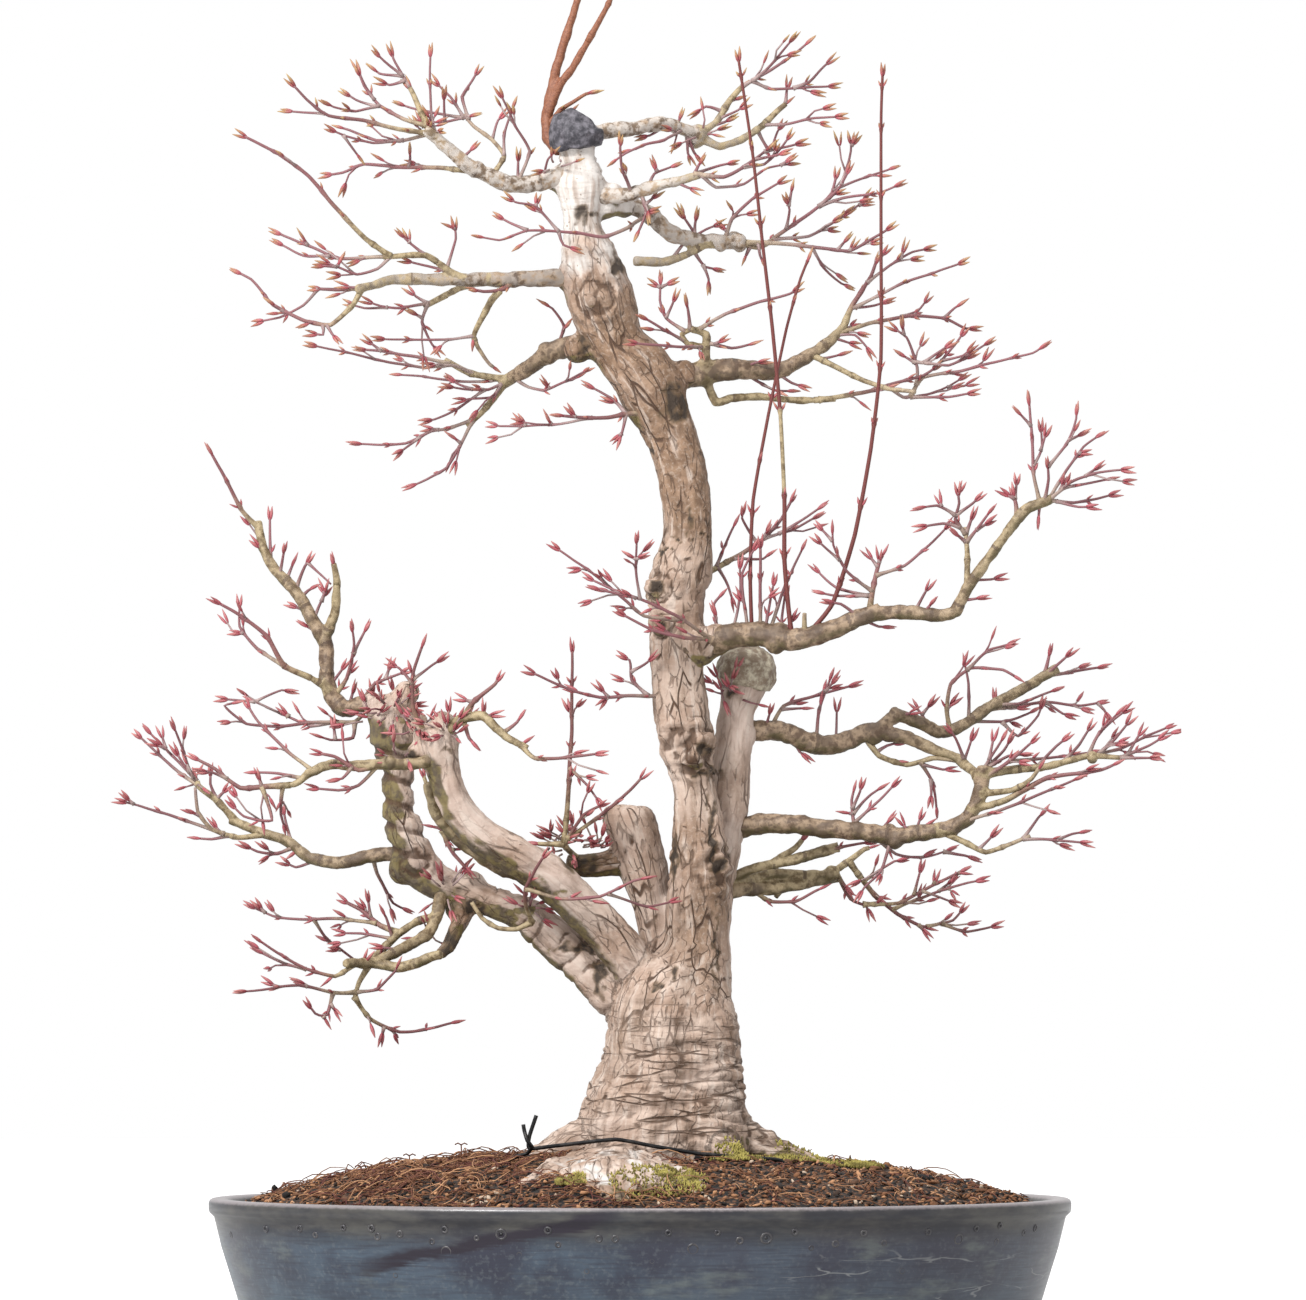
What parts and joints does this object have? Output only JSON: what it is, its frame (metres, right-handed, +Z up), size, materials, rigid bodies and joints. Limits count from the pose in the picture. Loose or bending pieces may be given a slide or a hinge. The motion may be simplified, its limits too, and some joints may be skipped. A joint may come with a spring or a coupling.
{
  "type": "japanese maple bonsai in a pot",
  "caption": "Leafless Japanese maple bonsai in winter bud, with a flared old trunk, sawn limbs and fine twigs, planted in an oval glazed pot.",
  "frame": {"origin": "middle of the outline seen from above, at the underside of the pot's feet", "axes": "+Z up, +X to the right as seen by a viewer at -Y, who looks at the front of the tree"},
  "size_m": [0.537, 0.326, 0.7482],
  "materials": {
    "bark": "pale tan cracked bark with wrinkles and green algae",
    "twig_bark": "olive and grey young bark with crimson bud pairs",
    "glaze": "dark blue-grey mottled glaze, satin, with small ring craters",
    "soil": "dark brown granular planting mix with fibres and moss",
    "putty": "matt grey wound putty",
    "wire": "black annealed",
    "mesh_plastic": "dark green plastic mesh"
  },
  "bodies": {
    "root": {"pot": "glaze", "soil": "soil", "trunk": "bark", "drain_mesh_left": "mesh_plastic", "drain_mesh_right": "mesh_plastic", "tie_wire": "wire", "top_shoots": "twig_bark", "branches_top_left": "twig_bark", "branches_left_second": "twig_bark", "branches_left_third": "twig_bark", "twigs_left_fourth": "twig_bark", "branches_top_right": "twig_bark", "branches_right_second": "twig_bark", "branches_right_third": "twig_bark", "branches_right_fourth": "twig_bark", "branch_right_long": "twig_bark", "branches_centre_right": "twig_bark", "branches_right_low": "twig_bark", "branches_right_lowest": "twig_bark", "branches_left_upright": "twig_bark", "branches_left_middle": "twig_bark", "shoots_left_knuckle": "twig_bark", "branches_left_arm": "twig_bark", "branches_left_inner": "twig_bark", "branches_left_low": "twig_bark", "branches_left_hanging": "twig_bark", "twigs_front": "twig_bark", "twigs_centre_left": "twig_bark", "shoots_stump": "twig_bark", "crown_putty": "putty", "stub_putty": "putty"}
  },
  "joints": []
}
